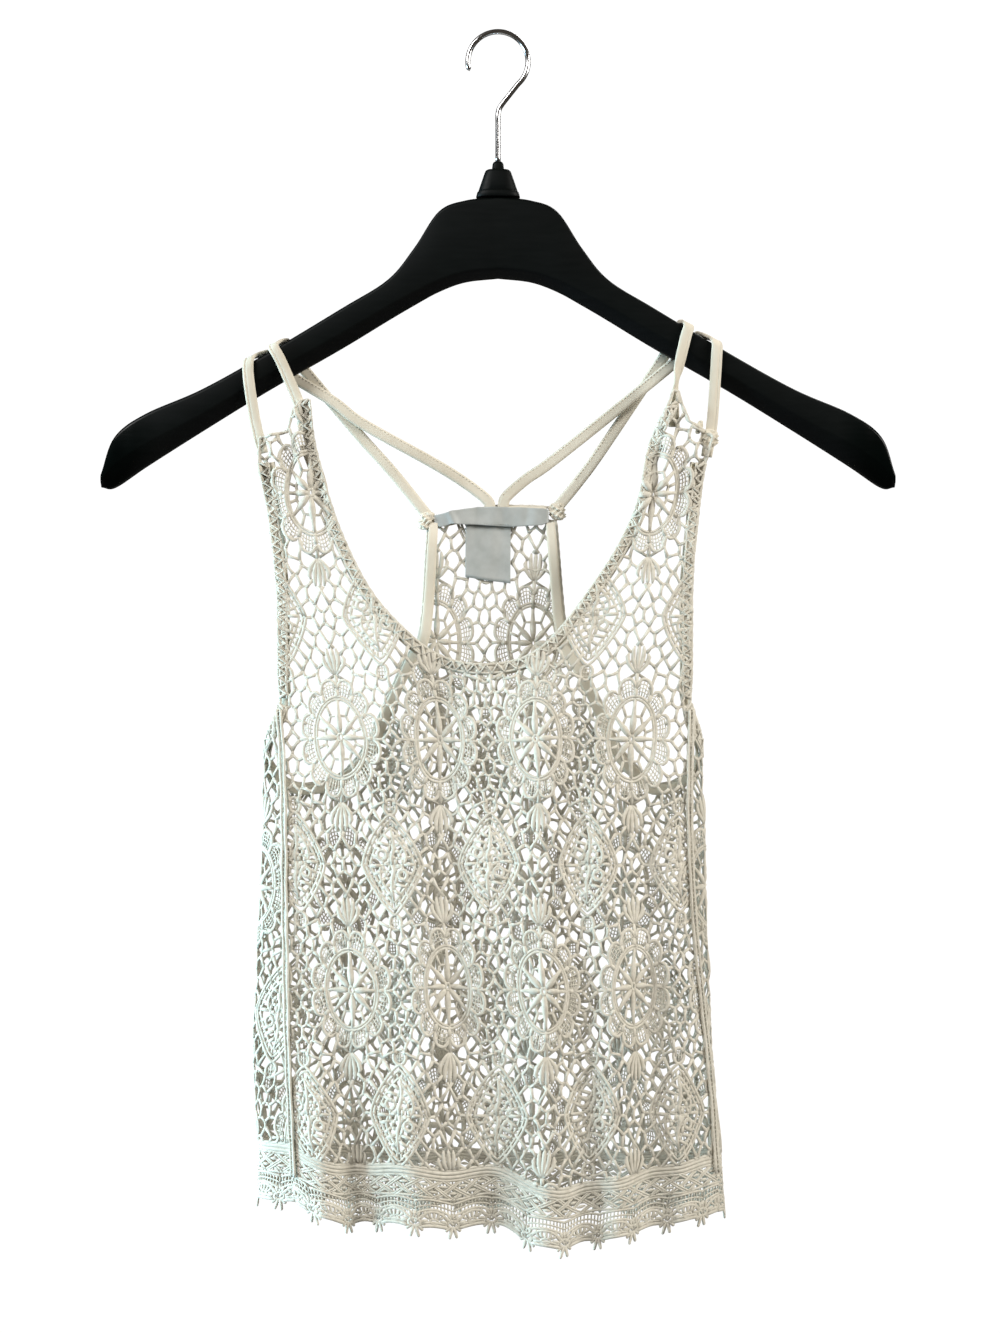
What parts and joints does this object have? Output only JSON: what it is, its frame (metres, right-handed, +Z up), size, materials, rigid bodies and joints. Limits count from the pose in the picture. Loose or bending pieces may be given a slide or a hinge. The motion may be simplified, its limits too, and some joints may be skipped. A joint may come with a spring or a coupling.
{
  "type": "crochet top on a hanger",
  "caption": "Sleeveless open-work crochet lace top with a scooped neck, narrow racer back, pointed lace hem and doubled jersey straps, hanging on a moulded hanger with a wire hook.",
  "frame": {"origin": "inside top of the hook, where the rail carries the hanger", "axes": "+X to the right seen from the front, along the hanger; +Y from the front of the garment to its back, along the rail; +Z up"},
  "size_m": [0.4828, 0.0833, 0.7403],
  "materials": {
    "crochet": "matte ivory cotton cord",
    "jersey": "soft cream jersey",
    "label_satin": "grey satin",
    "hanger_plastic": "charcoal, semi-matte",
    "hook_wire": "bright"
  },
  "bodies": {
    "root": {"hook": "hook_wire", "size_cap": "hanger_plastic", "hanger_body": "hanger_plastic", "strap_left_outer": "jersey", "strap_left_inner": "jersey", "strap_right_inner": "jersey", "strap_right_outer": "jersey", "front_lace": "crochet", "back_lace": "crochet", "hem_trim_front": "crochet", "hem_trim_back": "crochet", "neck_binding_front": "jersey", "neck_binding_back": "jersey", "armhole_binding_left": "jersey", "armhole_binding_right": "jersey", "side_seam_left": "crochet", "side_seam_right": "crochet", "neck_label": "label_satin", "care_label": "label_satin"}
  },
  "joints": []
}
